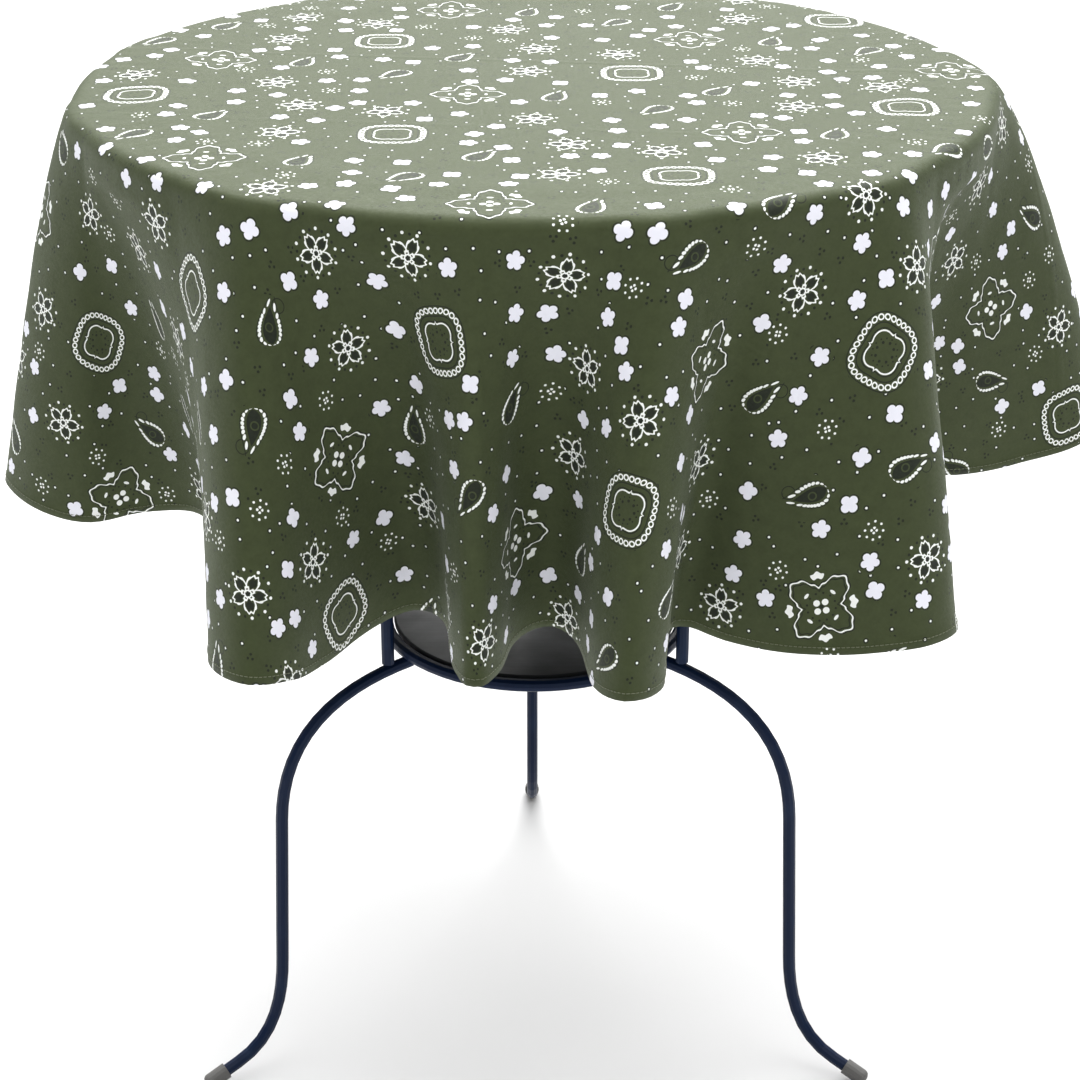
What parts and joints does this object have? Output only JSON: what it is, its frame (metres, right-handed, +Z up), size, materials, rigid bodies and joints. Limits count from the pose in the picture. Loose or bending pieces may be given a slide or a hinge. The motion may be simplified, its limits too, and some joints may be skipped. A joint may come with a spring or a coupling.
{
  "type": "covered bistro table",
  "caption": "Round bistro table on a bent-rod frame with a small lower shelf, covered by a round draped cotton cloth that lifts off.",
  "frame": {"origin": "on the floor, on the vertical axis of the round tabletop", "axes": "+Z up; +Y away from the front, which is the side between the two legs that stand wide apart; +X to the right seen from the front"},
  "size_m": [0.8521, 0.697, 0.7824],
  "materials": {
    "cotton_cloth": "matte printed plain weave cotton, olive green",
    "frame_paint": "satin blue-black paint on steel bar",
    "board": "charcoal lacquered board",
    "cap_plastic": "moulded grey plastic",
    "zinc_steel": "zinc plated screws"
  },
  "bodies": {
    "table": {"top_panel": "board", "top_rim_band": "frame_paint", "shelf_ring": "frame_paint", "shelf_panel": "board", "leg_1": "frame_paint", "foot_cap_1": "cap_plastic", "post_1": "frame_paint", "post_plate_1": "frame_paint", "shelf_lug_1": "frame_paint", "shelf_screw_1": "zinc_steel", "leg_2": "frame_paint", "foot_cap_2": "cap_plastic", "post_2": "frame_paint", "post_plate_2": "frame_paint", "shelf_lug_2": "frame_paint", "shelf_screw_2": "zinc_steel", "leg_3": "frame_paint", "foot_cap_3": "cap_plastic", "post_3": "frame_paint", "post_plate_3": "frame_paint", "shelf_lug_3": "frame_paint", "shelf_screw_3": "zinc_steel", "plate_screw_1": "zinc_steel", "plate_screw_2": "zinc_steel", "plate_screw_3": "zinc_steel", "plate_screw_4": "zinc_steel", "plate_screw_5": "zinc_steel", "plate_screw_6": "zinc_steel"},
    "cloth": {"tablecloth": "cotton_cloth"}
  },
  "joints": [
    {"name": "cloth_lift", "type": "slide", "parent": "table", "child": "cloth", "axis": [0, 0, 1], "range_m": [0, 0.36]}
  ]
}
